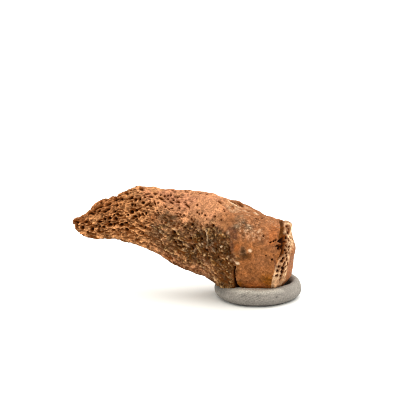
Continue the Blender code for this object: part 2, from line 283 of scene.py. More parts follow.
SMOOTH_WALLS = (
    (-34.4, 16.4, 1.6, .45, 25), (-32.4, 17.3, 1.6, .4, 25), (-27.0, 21.2, 2.5, .4, 5),
    (-25.0, 22.2, 1.8, .5), (-31.0, 19.2, 3.2, 0.55, 23), (-35.6, 16.0, 1.8, 0.5, 10),
    (-29.0, 21.3, 2.2, 0.35, 15),
)
AMBER_PATCHES = ((3.6, 5.4, 2.0, 2.0), (-2.6, 4.4, .8, .9))
# Painted light: the foot of the base painted paler, where the putty shades it
PAINTED_FOOT_LIGHT = ((0.3, 4.0, 2.0, .8),)
PALE_BASE = ((2.2, 10.4, 2.0, 1.9),)
ORANGE_PATCHES = (
    (0.6, 4.1, 2.6, 1.1), (-2.9, 12.7, 1.0, .9), (-21.8, 17.1, 1.3, .8, 20), (4.2, 14.8, 1.3, 1.7),
    (-6.6, 5.2, .7, 1.2), (-6.5, 14.6, .9, .5), (-5.3, 4.8, .45, .6),
)
FLAKY_PLACES = ((-0.8, 16.2, 3.4, 1.7, -18), (2.4, 14.8, 1.2, 1.0))

# Patches of the cave earth
GREY_EARTH = (
    (-20.4, 13.2, 1.7, 1.3), (-13.0, 10.8, .8, .7), (-11.0, 12.4, .9, .5), (-6.4, 12.4, .7, .5),
    (-10.4, 8.2, 1.0, .6, -20), (-8.6, 13.0, .6, 1.8),
)
GOLDEN_EARTH = (
    (-8.4, 7.8, 1.8, 1.6, -50), (-6.5, 14.6, 1.0, .6), (-13.7, 12.4, .7, .5), (-15.6, 8.8, 2.2, .6, -30),
    (-11.6, 9.4, 1.4, .6, -15), (-7.0, 5.6, 1.8, 1.4, -30),
)
PALE_EARTH = (
    (-9.3, 6.9, 1.8, .8, -38), (-7.1, 4.4, 1.4, .7, -30), (-11.4, 7.6, 1.2, .5, -35),
    (-16.9, 12.7, 1.5, .7, -25), (-18.7, 13.4, 1.2, .6, -20), (-15.3, 8.9, 1.8, .6, -30),
    (-11.6, 9.4, 1.2, .6, -20), (-9.2, 5.1, 2.2, .7, -28), (-6.2, 3.8, 1.6, .6, -15),
    (-19.5, 10.0, 1.8, .6, -28), (-14.9, 12.9, .6, .5), (-4.45, 5.6, .35, 1.9, -8),
    (-8.2, 8.3, .5, .35, -40),
)
DARK_EARTH = (
    (-6.1, 7.9, .6, .8, 10), (-6.6, 4.7, .45, .35), (-17.4, 14.3, .6, .4), (-15.6, 12.6, 1.9, .8, -40),
    (-12.6, 11.2, 1.0, .8, 40), (-10.3, 10.8, .9, .7), (-9.9, 13.0, .5, 1.4), (-7.4, 11.9, .4, 1.3, 10),
    (-5.6, 13.4, 1.2, .9), (-4.4, 7.2, 1.1, 1.1), (-19.6, 8.2, 1.2, .4, -28),
)

# Bare grains and pale crusts of the near side
CREAM_GRAINS = (
    (-2.8, 9.35, .42, .34, -10), (-0.05, 12.35, .36, .3, -20), (-6.4, 12.5, .3, .2, 30),
    (-22.1, 15.2, .24, .18), (-10.8, 12.5, .26, .16),
)
PALE_CRUSTS = (
    (-14.8, 12.6, .7, .1, -50), (-14.3, 11.5, .6, .1, -50), (-13.9, 10.4, .6, .1, -50), (0.4, 14.6, .18, .3),
    (-3.8, 9.9, .6, .22, -20), (-3.1, 17.0, .6, .3, 15), (-1.3, 16.0, .42, .26, -20), (0.4, 15.4, .34, .3),
    (1.3, 15.9, .52, .22, 20), (-0.9, 16.9, .34, .2, -30), (-4.6, 10.5, .34, .22, -20),
    (-15.8, 12.5, .3, .17, -30), (-10.9, 6.8, .26, .2), (-20.2, 14.0, .6, .3, -10), (-17.2, 14.9, .22, .34),
    (-5.0, 15.6, .28, .4), (-12.9, 10.1, .34, .22, -30), (-4.9, 19.9, 1.7, .16, -21),
    (-8.2, 11.4, .5, .3, -60), (-7.0, 8.8, .5, .25, -50), (-13.6, 14.0, .4, .25, 20),
    (-11.6, 15.2, .4, .22, -40), (-16.0, 12.6, .8, .16, -40), (-15.4, 11.9, .5, .12, -40),
    (-8.6, 4.9, 1.2, .3, -28), (-5.6, 10.0, .5, .18, 10), (-5.0, 9.7, .4, .14, -20),
)

# The oval cell in the rim's upper corner: its middle, the two ways across it, each divided by the
# cell's half width that way, and the pores in it as marks on those two ways
RIM_CELL = (6.4, -0.85, 14.97)
RIM_CELL_WAYS = ((0.0, 0.284, 1.09), (0.0, 0.701, -0.645))
RIM_CELL_SPOTS = ((0.72, -0.15, .22, .32), (-0.42, 0.1, .24, .42), (0.15, 0.0, .15, .2))

# The putty ring, as in the part's source
RING_RADIUS = 8.0
ROLL_HALF_WIDTH = 1.32
ROLL_HEIGHT = 3.8
ROLL_FOOT_HALF_WIDTH = 0.42
FOOT_INSET = 0.6
RING_WAVE = 0.10
# The height of the roll's middle, and how much of the way round its section is arc and not foot
LIFT_SHARE = 0.46
ARC_SHARE = 0.92

# The putty's mesh, its print and its marks. Turns are counted round the ring from the joint face.
RING_AROUND = 520
ROLL_AROUND = 88
TOUCH_GAP = 0.05
LOBE_TURN = math.radians(-135)
LEAN_TURN = math.radians(-95)
FINGER_TURN = math.radians(-88)
FINGER_LINE_SPACING = 0.62
PIT_SPACING = 2.3
PIT_DEPTH = 0.22
PUTTY_GRAIN_HEIGHT = 0.03

# The camera: where it looks from, how far away it stands and the size of a pixel at the ring's axis
VIEW_AZIMUTH = 10.0
VIEW_ELEVATION = 17.0
VIEW_DISTANCE = 330.0
PIXEL_SIZE = 0.2162
IMAGE_PIXELS = 416
AXIS_PIXEL = (258.0, 294.8)
FILM_WIDTH = 36.0

# The studio: half the floor's width in metres, the floor's gap under the ring in millimetres, and
# the way to the key light
FLOOR_REACH = 3.0
FLOOR_GAP = 0.02
KEY_DIRECTION = (0.30, 0.32, 0.90)


def linear(code):
    """Linear red, green, blue and opacity of an sRGB hex colour."""
    parts = [int(code[i:i + 2], 16) / 255 for i in (1, 3, 5)]
    return tuple(c / 12.92 if c <= 0.04045 else ((c + 0.055) / 1.055) ** 2.4 for c in parts) + (1.0,)


BONE_COLOURS = {
    "spongy": ("Spongy bone", "#C58959", "Ridges of the open, spongy bone at the tip"),
    "salmon": ("Back of the claw", "#C2865E", "Dense bone along the back"),
    "flush": ("Flushed crest", "#BF815F", "Pinker dense bone along the crest"),
    "base": ("Base", "#915931", "Dense bone of the broad base"),
    "crown": ("Top of the base", "#97613D", "Dense bone over the top of the base"),
    "amber": ("Low base", "#6F3D03", "Base just above the putty"),
    "orange": ("Orange patches", "#995427", "Iron stain on the knob and in the groove's top"),
    # Dark stain beside the knob, and painted shade along the blade's underside and at the lobe's foot
    "brown_stain_and_shade": ("Brown stain and shade", "#4A2A0E", "Dark stain of the underside and beside the knob"),
    "stain": ("Grey stain", "#775A42", "Mineral stain on the base"),
    "mauve": ("Mauve stain", "#563224", "Darker stain where the blade meets the base"),
    "dirt_dark": ("Dark cave earth", "#422708", "Cave earth that fills the pores"),
    "dirt": ("Cave earth", "#906C41", "Cave earth set hard in the worn hollow"),
    "dirt_pale": ("Pale cave earth", "#BC986A", "Crumbs that stand out of the cave earth"),
    "earth_grey": ("Grey earth", "#836D5A", "Silt among the cave earth"),
    "earth_gold": ("Golden earth", "#A16726", "Iron-stained cave earth"),
    "cream": ("Cream crust", "#C5A687", "Lime crust and bare grains of bone"),
    "rim": ("Rim", "#DDB189", "Broken edge of spongy bone before the joint face"),
    "facet": ("Joint face", "#955D39", "Worn, faintly glossy joint face"),
    "groove": ("Groove", "#643506", "Stained groove before the rim"),
    "pore": ("Pore wall", "#74390B", "Walls of the pores"),
    "earth_pore": ("Earthy pore wall", "#693B13", "Walls of the pores in the cave earth"),
    # Painted shade: near black at the bottom of the deep pores, with dark earth in them
    "hole": ("Deep pore", "#1C0601", "Bottom of the deep pores"),
}
# Finishes painted one over the other in this order, the cave earth's own, and the other masks
PAINT_LAYERS = ("salmon", "flush", "base", "crown", "amber", "orange", "stain", "mauve", "brown_stain_and_shade", "facet",
                "groove", "rim")
EARTH_LAYERS = ("earth_grey", "earth_gold")
SHARE_MASKS = ("dirt", "crumb", "crumb_pale", "cream", "flaky", "netted", "painted_relief_light", "pore", "hole")


def colour_property(name, code, description):
    """Colour that the sidebar shows, from its sRGB hex value."""
    return bpy.props.FloatVectorProperty(
        name=name, description=description, default=linear(code), size=4, subtype="COLOR",
        min=0.0, max=1.0)


def length_property(name, millimetres, description):
    """Length that the sidebar shows, from its millimetres."""
    return bpy.props.FloatProperty(
        name=name, description=description, default=millimetres * MM, min=0.0, precision=5,
        unit="LENGTH", subtype="DISTANCE")


def fade(value, start, end):
    """0 at start, 1 at end, with a smooth step between them."""
    t = np.clip((value - start) / (end - start), 0.0, 1.0)
    return t * t * (3 - 2 * t)


def along(points, x):
    """Height at x of the straight lines that join the points."""
    return np.interp(x, *np.array(points).T)


def through_points(points, x):
    """Smooth curve through the points: a cubic between each two, with slopes they agree on."""
    px, py = np.array(points).T
    step = np.diff(px)
    slope = np.diff(py) / step
    tangent = np.concatenate(([slope[0]], np.zeros(len(px) - 2), [slope[-1]]))
    tangent[1:-1] = (slope[1:] * step[:-1] + slope[:-1] * step[1:]) / (step[1:] + step[:-1])
    i = np.clip(np.searchsorted(px, x) - 1, 0, len(step) - 1)
    t = (x - px[i]) / step[i]
    rise = t * t * (3 - 2 * t)
    from_left = t * (1 - t) ** 2 * step[i] * tangent[i]
    from_right = t * t * (1 - t) * step[i] * tangent[i + 1]
    return py[i] * (1 - rise) + py[i + 1] * rise + from_left - from_right


def chance(cells, salt):
    """Even random number from 0 to 1 for each whole-number cell, from its mixed coordinates."""
    mixed = cells @ np.array([73856093, 19349663, 83492791]) + salt * 374761393
    mixed = ((mixed ^ (mixed >> 13)) * 1274126177) & 0xFFFFFFFF
    mixed = ((mixed ^ (mixed >> 15)) * 2246822519) & 0xFFFFFFFF
    return (mixed ^ (mixed >> 16)) / 0xFFFFFFFF


def noise(places, salt):
    """Smooth random height from -1 to 1: the eight corners of each unit cube, blended. Places
    divided by a size in millimetres give lumps of that size, and each salt is its own pattern."""
    home = np.floor(places).astype(np.int64)
    share = places - home
    share = share * share * (3 - 2 * share)
    total = 0.0
    for corner in itertools.product((0, 1), repeat=3):
        weight = np.where(np.array(corner) == 1, share, 1 - share).prod(axis=-1)
        total = total + weight * chance(home + np.array(corner), salt)
    return total * 2 - 1


def fractal(places, salt, layers=3):
    """Sum of smooth random heights, each layer half the size and half the height of the last."""
    total, reach = 0.0, 0.0
    for layer in range(layers):
        total = total + noise(places * 2.0 ** layer, salt + 7 * layer) / 2.0 ** layer
        reach += 1 / 2.0 ** layer
    return total / reach


def cell_pattern(places, salt):
    """Distances to the nearest and second nearest of one random point in each unit cube, and the
    nearest point's own random number."""
    home = np.floor(places).astype(np.int64)
    best = np.full(len(places), 9.0)
    second = np.full(len(places), 9.0)
    pick = np.zeros(len(places))
    for offset in itertools.product((-1, 0, 1), repeat=3):
        cube = home + np.array(offset)
        centre = cube + np.stack([chance(cube, salt + axis) for axis in range(3)], axis=-1)
        distance = np.linalg.norm(places - centre, axis=-1)
        second = np.minimum(second, np.maximum(best, distance))
        pick = np.where(distance < best, chance(cube, salt + 3), pick)
        best = np.minimum(best, distance)
    return best, second, pick


def section(x):
    """Half width, middle height, half height, top weight and power of the bone's section at x."""
    top = through_points(TOP_EDGE, x)
    bottom = through_points(BOTTOM_EDGE, x)
    tip_end = np.clip((TIP_X + TIP_CAP - x) / TIP_CAP, 0.0, 1.0)
    back_end = np.clip((x - BACK_X + BACK_CAP) / BACK_CAP, 0.0, 1.0)
    closing = (1 - tip_end ** 2.2) ** 0.455 * (1 - back_end ** 2) ** 0.417
    width = through_points(HALF_WIDTH, x) * closing
    power = 2 + 1.2 * along(FULLNESS, x) * closing
    return width, (top + bottom) / 2, (top - bottom) / 2 * closing, along(TOP_HEAVY, x), power


def face_fall(x, y, rise):
    """How far the joint face falls back from its middle, growing from nothing at FACE_START_X."""
    on_face = np.clip((x - FACE_START_X) / 12.0, 0.0, 1.0) ** 1.5
    below = np.clip(-rise / FACE_HALF_HEIGHT, 0.0, 1.0)
    above = np.clip(rise / FACE_HALF_HEIGHT, 0.0, 1.0)
    fall = HEEL_SLOPE * below ** 2 + BROW_SLOPE * above ** 2 + SIDE_SLOPE * (y / FACE_HALF_WIDTH) ** 2
    return on_face * fall


def bone_form(x, turn):
    """Smooth bone at x, in the direction turn round its section: a superellipse, wider above its
    middle by the top weight, with the joint face's fall taken off x."""
    width, middle, height, heavy, power = section(x)
    across, upward = np.cos(turn), np.sin(turn)
    reach = (np.abs(across) ** power + np.abs(upward) ** power) ** (-1 / power)
    across, upward = across * reach, upward * reach
    lopsided = 1 + heavy * np.sign(upward) * np.abs(upward) ** (power / 2)
    y = width * across * lopsided
    rise = height * upward
    return np.stack([x - face_fall(x, y, rise), y, middle + rise], axis=-1)


def outside_bone(places):
    """Distance outside the smooth bone and the direction away from it: the superellipse's own
    measure, divided by how fast it grows."""
    def measure(at):
        """0 on the bone's surface, less inside and more outside. The place along the blade is found
        by putting the joint face's fall back, a few times over."""
        x, y, z = at.T
        along_x = x
        for _ in range(6):
            middle = section(along_x)[1]
            along_x = np.minimum(x + face_fall(along_x, y, z - middle), BACK_X - 0.01)
        width, middle, height, heavy, power = section(along_x)
        upward = (z - middle) / height
        lopsided = 1 + heavy * np.sign(upward) * np.minimum(np.abs(upward), 1.0) ** (power / 2)
        across = np.abs(y / (width * lopsided))
        return (across ** power + np.abs(upward) ** power) ** (1 / power) - 1
    here = measure(places)
    step = 0.02
    growth = np.stack([(measure(places + step * axis) - here) / step for axis in np.eye(3)], axis=-1)
    size = np.linalg.norm(growth, axis=-1, keepdims=True) + 1e-9
    return here / size[:, 0], growth / size


def bell(places, feature):
    """Height of one feature of the bone: a bell round its centre, as wide as its three radii."""
    _, centre, radii, rise = feature
    reach = (((places - np.array(centre)) / np.array(radii)) ** 2).sum(axis=1)
    return rise * np.exp(-BELL_FALL * reach)


def bone_relief(places, along_x):
    """Height of the bone's lumps, hollows and groove over its smooth form."""
    x, y, z = places.T
    height = LUMP_HEIGHT * (np.sin(0.75 * x + 0.4 * z + 0.6 * y) + np.sin(1.15 * z - 0.5 * x + 0.9 * y)) / 2
    height += LUMP_HEIGHT * 0.6 * np.sin(1.7 * x + 0.9 * np.sin(1.3 * z)) * np.sin(1.9 * z - 0.8 * y)
    for feature in BONE_FEATURES:
        height += bell(places, feature)
    height = (height - GROOVE_DEPTH * groove_share(places, along_x)) * fade(z, 1.2, 4.0)
    return height + bell(places, LOBE)


def rim_start(places):
    """Where along the blade the rim starts: by height on the sides and by y over the crest."""
    _, y, z = places.T
    by_height = along(RIM_LEFT, z)
    return by_height + (along(RIM_LEFT_OVER, y) - by_height) * fade(z, 14.6, 15.3)


def groove_share(places, along_x):
    """Share of the groove's full depth before the rim: a bell curve, fading out towards the heel."""
    z = places[:, 2]
    away = along_x - rim_start(places) + 0.16 + 0.16 * fade(z, 13.6, 14.6)
    width = GROOVE_WIDTH * (0.4 + 0.6 * fade(z, 12.8, 14.2)) * np.where(away > 0, 0.6, 1.0)
    return np.exp(-(away / width) ** 2) * (0.35 * fade(z, 9.8, 10.6) + 0.65 * fade(z, 12.8, 13.8))


def ellipse_share(x, z, marks, inner, outer):
    """1 well inside any marked ellipse, 0 outside it, smooth between inner and outer, which are
    shares of its size."""
    share = np.zeros(len(x))
    for mark_x, mark_z, length, width, *slope in marks:
        lean = math.radians(slope[0]) if slope else 0.0
        dx, dz = x - mark_x, z - mark_z
        forward = (dx * math.cos(lean) + dz * math.sin(lean)) / (length + MARK_MARGIN)
        sideways = (dz * math.cos(lean) - dx * math.sin(lean)) / (width + MARK_MARGIN)
        share = np.maximum(share, fade(np.hypot(forward, sideways), outer, inner))
    return share


def near_marks(places, marks, inner, outer):
    """Share of the marks that are given in x and z, on the near side only."""
    x, y, z = places.T
    return ellipse_share(x, z, marks, inner, outer) * fade(y, NEAR_EDGE, -NEAR_EDGE)


def line_distance(x, z, route):
    """Distance to the nearest of the route's straight stretches, and the share of the route passed."""
    best = np.full(len(x), 99.0)
    passed = np.zeros(len(x))
    stretches = list(zip(route, route[1:]))
    for number, ((x0, z0), (x1, z1)) in enumerate(stretches):
        length = math.hypot(x1 - x0, z1 - z0)
        t = np.clip(((x - x0) * (x1 - x0) + (z - z0) * (z1 - z0)) / length ** 2, 0.0, 1.0)
        distance = np.hypot(x - x0 - t * (x1 - x0), z - z0 - t * (z1 - z0))
        passed = np.where(distance < best, (number + t) / len(stretches), passed)
        best = np.minimum(best, distance)
    return best, passed


def to_frame(places):
    """Places in millimetres from the ring's axis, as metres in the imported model's frame."""
    return (places + np.array([AXIS_X, 0.0, 0.0])) * MM


def grid_mesh(name, places, wrap_rows, poles=None):
    """Mesh of a grid of places whose rows are closed rings. Its first and last ring are joined to
    each other (wrap_rows) or each to its pole."""
    rows, columns = places.shape[:2]
    index = np.arange(rows * columns).reshape(rows, columns)
    if wrap_rows:
        index = np.vstack([index, index[:1]])
    beside = np.roll(index, -1, axis=1)
    faces = np.stack([index[:-1], index[1:], beside[1:], beside[:-1]], axis=-1).reshape(-1, 4).tolist()
    points = places.reshape(-1, 3)
    if poles is not None:
        points = np.vstack([points, poles])
        first, last = rows * columns, rows * columns + 1
        faces += [[first, a, b] for a, b in zip(index[0], beside[0])]
        faces += [[last, b, a] for a, b in zip(index[-1], beside[-1])]
    mesh = bpy.data.meshes.new(name)
    mesh.from_pydata(to_frame(points), [], faces)
    mesh.shade_smooth()
    return mesh


def normals_of(mesh):
    """Each point's normal, as a row of three."""
    found = np.empty(len(mesh.vertices) * 3, np.float32)
    mesh.vertex_normals.foreach_get("vector", found)
    return found.reshape(-1, 3).astype(float)


def move_points(mesh, places):
    """Puts the mesh's points at these places, in millimetres from the ring's axis."""
    mesh.vertices.foreach_set("co", to_frame(places).ravel())
    mesh.update()


def keep_masks(mesh, masks):
    """Stores each mask as a named attribute, which the material reads."""
    for name, values in masks.items():
        attribute = mesh.attributes.new(name, "FLOAT", "POINT")
        attribute.data.foreach_set("value", np.clip(values, 0.0, 1.0).astype(np.float32))


def place(name, mesh, node, material):
    """Object for a finished piece, in place of its plain node."""
    piece = bpy.data.objects.new(name, mesh)
    bpy.context.scene.collection.objects.link(piece)
    mesh.materials.append(material)
    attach(piece, "root")
    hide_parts(node)


def bone_surface():
    """Even grid over the smooth bone: along it, x runs evenly down the blade and as the cosine of
    a turn over both ends; round it, directions bunch up where the section curves least."""
    face = BACK_X - BACK_CAP * (1 - np.cos(np.linspace(0, math.pi / 2, FACE_RINGS + 1)[1:]))
    blade = np.linspace(BACK_X - BACK_CAP, TIP_X + TIP_CAP, BLADE_RINGS + 1)[1:]
    tip = TIP_X + TIP_CAP * (1 - np.cos(np.linspace(math.pi / 2, 0, TIP_RINGS + 1)[1:-1]))
    x = np.concatenate([face, blade, tip])
    width, _, height, _, _ = section(x)
    bunching = 0.5 * (height - width) / (height + width)
    turn = np.linspace(0, 2 * math.pi, BONE_AROUND, endpoint=False)
    turn = turn[None, :] - bunching[:, None] * np.sin(2 * turn)[None, :]
    x = np.broadcast_to(x[:, None], turn.shape)
    poles = np.array([BACK_X, TIP_X])
    ends = bone_form(poles, np.zeros(2))
    mesh = grid_mesh("claw_bone", bone_form(x, turn), False, ends)
    places = np.vstack([bone_form(x, turn).reshape(-1, 3), ends])
    return mesh, places, np.concatenate([x.ravel(), poles])


def cell_place(places):
    """Place of each point in the rim's oval cell: 0, 0 in its middle and 1 from there on its edge."""
    return (places - np.array(RIM_CELL)) @ np.array(RIM_CELL_WAYS).T


def bone_zones(places, along_x, level):
    """Share of each finish at each point, from its place: borders a noise has made uneven."""
    x, y, z = places.T
    near = fade(y, NEAR_EDGE, -NEAR_EDGE)
    ragged = fractal(places / 2.2, 11) * 1.3
    fine = fractal(places / 0.7, 12)
    patchy = fractal(places / 1.5, 18)
    broken = (0.35 + 0.65 * fade(fine, -0.6, 0.3)) * near
    bottom = through_points(BOTTOM_EDGE, np.minimum(along_x, BOTTOM_EDGE[-1][0]))
    strip = fade(bottom + 2.3 - z + 0.8 * ragged, -0.5, 0.7) * fade(x, -8.5, -11.0)
    dirt = fade(along(DIRT_TOP, x) - z + ragged + 2.2 * fine, -1.6, 2.4)
    dirt *= fade(along(DIRT_RIGHT, z) - x + 0.9 * ragged + 1.6 * fine, -1.4, 1.2)
    dirt *= fade(x + 1.5 * ragged + 2.5 * fine, -28.0, -16.0) * (1 - 0.85 * strip)
    dirt *= 1 - 0.45 * near_marks(places, WASHED_PLACES, 0.3, 1.4)
    dirt *= 0.68 + 0.32 * fade(fractal(places / 1.3, 13), -0.35, 0.25)
    blade = fade(x + 0.8 * ragged, -17.0, -26.0)
    at_base = fade(x + ragged, -9.0, -3.0)
    rim_left, rim_right = rim_start(places), along(RIM_RIGHT, z)
    before_rim = fade(along_x + 0.10 * fine, rim_left - 0.08, rim_left + 0.08)
    past_rim = fade(along_x + 0.10 * fine, rim_right - 0.08, rim_right + 0.14)
    rim_band = before_rim * (1 - past_rim) * fade(z, 1.6, 3.2)
    wall = np.hypot(*cell_place(places).T)
    wall = fade(wall, 0.95, 1.10) * fade(wall, 1.75, 1.45)
    outer_part = fade(y + 6.6 - 0.75 * (z - 8.0) + 0.4 * fine, -0.6, 0.5) * fade(z, 14.6, 13.8)
    cream_rim = np.maximum.reduce([fade(z, 8.4, 7.2), outer_part, wall])
    rim_worn = 0.25 * fade(z, 6.8, 5.6) + 0.35 * fade(z, 6.4, 5.2) * fade(patchy, -0.4, 0.3)
    haloes = ellipse_share(y, z, RIM_PORES, 1.0, 2.0)
    shaded = fade(along_x, rim_left - 1.3, rim_left - 0.2) * fade(z, 9.2, 10.8) * fade(z, 14.5, 13.7)
    grooved = fade(groove_share(places, along_x + 0.08 * fine), 0.06, 0.50)
    brown_rim = rim_band * (1 - cream_rim) * fade(z, 7.0, 8.5)
    crest = fade(level + 0.15 * ragged, 0.45, 0.85) * (1 - 0.7 * at_base)
    crest *= fade(patchy, -0.5, 0.4) * fade(x, -29.0, -21.0)
    pink = fade(line_distance(x, y, PINK_STREAK)[0], 1.4, 0.3) * fade(level, 0.4, 0.7)
    # Painted shade: the lower edge of the blade painted darker
    underside = fade(level + 0.12 * fine, -0.84, -0.97) * fade(x, -8.0, -12.0)
    tip_crest = fade(x, -27.0, -31.0) * fade(level + 0.2 * fine, 0.15, 0.55)
    brown_spots = near_marks(places, BROWN_SPOTS, 0.3, 1.4) * (0.50 + 0.50 * fade(fine, -0.5, 0.2))
    earth_lit = near_marks(places, PALE_EARTH, 0.4, 1.5) - near_marks(places, DARK_EARTH, 0.4, 1.5)
    return {
        "near": near,
        "spongy": fade(along(DENSE_EDGE, x) - z + 0.5 * ragged, -0.6, 0.7),
        "salmon": (1 - blade) * (1 - at_base),
        "flush": np.maximum(crest, 0.8 * pink),
        "base": at_base,
        "crown": at_base * np.maximum(fade(level + 0.2 * ragged, 0.25, 0.65),
                                      0.6 * near_marks(places, PALE_BASE, 0.3, 1.4)),
        "amber": at_base * np.maximum(0.60 * fade(z + ragged, 5.8, 2.2),
                                      0.9 * near_marks(places, AMBER_PATCHES, 0.3, 1.4)),
        "dirt": dirt,
        "earth_grey": np.maximum(0.9 * near_marks(places, GREY_EARTH, 0.4, 1.4),
                                 0.5 * fade(patchy, 0.15, 0.5)),
        "earth_gold": np.maximum(0.9 * near_marks(places, GOLDEN_EARTH, 0.4, 1.4),
                                 0.6 * fade(patchy, -0.1, -0.45)),
        "earth_lit": earth_lit,
        "flaky": np.maximum(near_marks(places, FLAKY_PLACES, 0.5, 1.3), 0.35 * dirt + 0.12),
        "stain": ellipse_share(x, z, GREY_STAINS, 0.4, 1.3) * broken,
        "mauve": ellipse_share(x, z, MAUVE_STAINS, 0.3, 1.3) * (0.3 * near + 0.7 * broken),
        # Stains, and painted shade along the underside and at the lobe's foot
        "brown_stain_and_shade": np.maximum(0.95 * brown_spots, 0.8 * underside),
        "orange": np.maximum(0.65 * near_marks(places, ORANGE_PATCHES, 0.3, 1.5), 0.48 * tip_crest),
        "rim_band": rim_band,
        "rim": (rim_band * (0.45 + 0.55 * cream_rim) * fade(fine, -1.4, 0.0) * (1 - 0.4 * haloes)
                * (1 - rim_worn)),
        "facet": past_rim,
        "groove": np.maximum.reduce([grooved, 0.35 * shaded, 0.12 * brown_rim]) * (1 - past_rim),
    }


def bone_pores(places, along_x, level, zones):
    """Depth share of the pores, from 0 to 1, the share of the ridges between them, and the place
    that the cells are counted in.

    Spongy bone is a net: a point is deep where its nearest cell centre is much nearer than the
    second nearest, and some cells are deeper than others. Fibres run between the cells, and thin
    ridges along the blade are the lines where a drawn-out noise is nought. Dense bone has
    drawn-out slots along the back and round pinholes: a point is deep within a set distance of a
    cell centre. The near side's large pores are listed one by one."""
    x, y, z = places.T
    half_height = np.maximum(section(np.clip(along_x, TIP_X + 0.3, BACK_X - 0.3))[2], 1.0)
    flow = np.stack([x, y, level * np.sqrt(8 * half_height)], axis=-1)
    flow += 0.2 * np.stack([noise(places / 1.2, salt) for salt in (15, 16, 17)], axis=-1)
    near = zones["near"]

    best, second, pick = cell_pattern(flow / np.array(NET_CELL), 21)
    net = fade(second - best, 0.12, 0.48) * (0.35 + 0.65 * pick ** 1.2)
    best, second, pick = cell_pattern(flow / np.array(SMALL_NET_CELL), 31)
    small_net = fade(second - best, 0.12, 0.48) * (0.20 + 0.64 * pick)
    fibres = fade(np.abs(noise(flow / np.array(FIBRE_CELL), 33)), 0.22, 0.02) * fade(level, 0.2, -0.3)
    ridges = fade(np.abs(noise(flow / np.array(BLADE_RIDGE_CELL), 35)), 0.20, 0.04)
    sponge = np.maximum.reduce([net * fade(x, -20.0, -29.0), small_net, 0.55 * fibres])
    sponge *= zones["spongy"] * (1 - 0.75 * near_marks(places, SMOOTH_WALLS, 0.5, 1.3))
    sponge *= (1 - 0.75 * ridges) * (1 - 0.20 * near * fade(level, 0.15, 0.55))

    best, _, pick = cell_pattern(flow / np.array(SLOT_CELL), 41)
    on_back = fade(x, -38.0, -33.0) * fade(x, -10.0, -16.0) * fade(level, 0.0, 0.4)
    slots = fade(best, 0.40, 0.14) * on_back * (0.25 + 0.60 * pick) * (1 - 0.3 * near)

    best, _, pick = cell_pattern(places / PINHOLE_SPACING, 51)
    pins = fade(best, 0.26, 0.08) * (pick > 0.55) * (pick - 0.2) * fade(x, -26.0, -20.0)
    pins *= (1 - zones["facet"]) * (1 - 0.45 * zones["base"])

    best, second, pick = cell_pattern(places / RIM_CELL_SPACING, 61)
    rim_pores = fade(second - best, 0.05, 0.38) * fade(best, 0.60, 0.36) * zones["rim_band"]
    rim_pores *= (0.45 + 0.55 * (pick > 0.3)) * (1 - 0.75 * near)
    up_cell, across_cell = cell_place(places).T
    cell_reach = np.hypot(up_cell, across_cell)
    in_cell = 0.25 + 0.75 * ellipse_share(up_cell, across_cell, RIM_CELL_SPOTS, 0.5, 1.3)
    rim_pores = np.where(cell_reach < 1.7, fade(cell_reach, 1.05, 0.80) * in_cell, rim_pores)
    in_rim = ellipse_share(y, z, RIM_PORES, 0.7, 1.3) * zones["rim_band"] * (cell_reach > 1.2)

    chips = ellipse_share(x, y, CREST_CHIPS, 0.5, 1.2) * fade(level, 0.70, 0.85)
    crest_pores = 0.72 * ellipse_share(x, y, CREST_PORES, 0.4, 1.25) * fade(level, 0.3, 0.5)
    tip_end = 0.4 * fade(x, -40.2, -40.8) * fade(z, 14.5, 13.9)
    crack_away, crack_passed = line_distance(x, z, CRACK)
    crack = fade(crack_away, 0.28 + 0.70 * crack_passed ** 3, 0.15 + 0.55 * crack_passed ** 3) * near
    behind_rim = np.abs(along_x - rim_start(places) + 0.10)
    rim_crack = 0.9 * fade(behind_rim, 0.16, 0.05) * fade(z, 10.2, 10.9) * fade(z, 15.0, 14.3) * near
    random_pores = np.maximum.reduce([sponge, slots, pins])
    random_pores *= 1 - 0.4 * near_marks(places, TIP_PORES + BACK_PORES, 1.0, 1.7)
    pores = np.maximum.reduce([
        random_pores, rim_pores, in_rim, chips, crest_pores, crack, rim_crack, tip_end,
        near_marks(places, NOTCH_PORES, 0.7, 1.3),
        0.93 * near_marks(places, TIP_PORES + DIRT_PORES, 0.5, 1.45),
        0.72 * near_marks(places, BACK_PORES, 0.4, 1.25)])
    return pores, ridges, flow


def bone_crumbs(places):
    """Height, paleness and crevices of the cave earth: two sizes of crumbs, each cell at its own
    height with a crack round it, drawn out along the way the water ran."""
    x, y, z = places.T
    along_run = x * math.cos(EARTH_RUN) + z * math.sin(EARTH_RUN)
    across_run = z * math.cos(EARTH_RUN) - x * math.sin(EARTH_RUN)
    run = np.stack([along_run / 1.5, y, across_run], axis=-1)
    run += 0.3 * np.stack([noise(places / 0.9, salt) for salt in (81, 82, 83)], axis=-1)
    height, pale, crevice = 0.0, 0.0, 0.0
    for size, share, salt in ((1.05, 0.5, 91), (0.52, 0.5, 101)):
        best, second, pick = cell_pattern(run / size, salt)
        gap = fade(second - best, 0.02, 0.35)
        height = height + share * ((pick - 0.45) * gap - 0.5 * (1 - gap)) * (1.2 - best)
        pale = pale + share * pick * gap
        crevice = crevice + share * (1 - gap)
    return height, pale, crevice


def add(tree, kind, inputs=(), out=0, **settings):
    """Adds one shader node with its settings and returns one output. Each input's value, or the
    socket that feeds it, is given in the node's own order or by its name or number. A Mix takes its
    share at 0, then two colours at 6 and 7, mixed at output 2, or two values at 2 and 3."""
    made = tree.nodes.new("ShaderNode" + kind)
    for name, value in settings.items():
        setattr(made, name, value)
    for name, value in inputs.items() if isinstance(inputs, dict) else enumerate(inputs):
        if isinstance(value, bpy.types.NodeSocket):
            tree.links.new(value, made.inputs[name])
        else:
            made.inputs[name].default_value = value
    return made.outputs[out]


def new_material(name):
    """A new material, its node tree and its shader."""
    material = bpy.data.materials.new(name)
    material.use_nodes = True
    return material, material.node_tree, material.node_tree.nodes["Principled BSDF"]


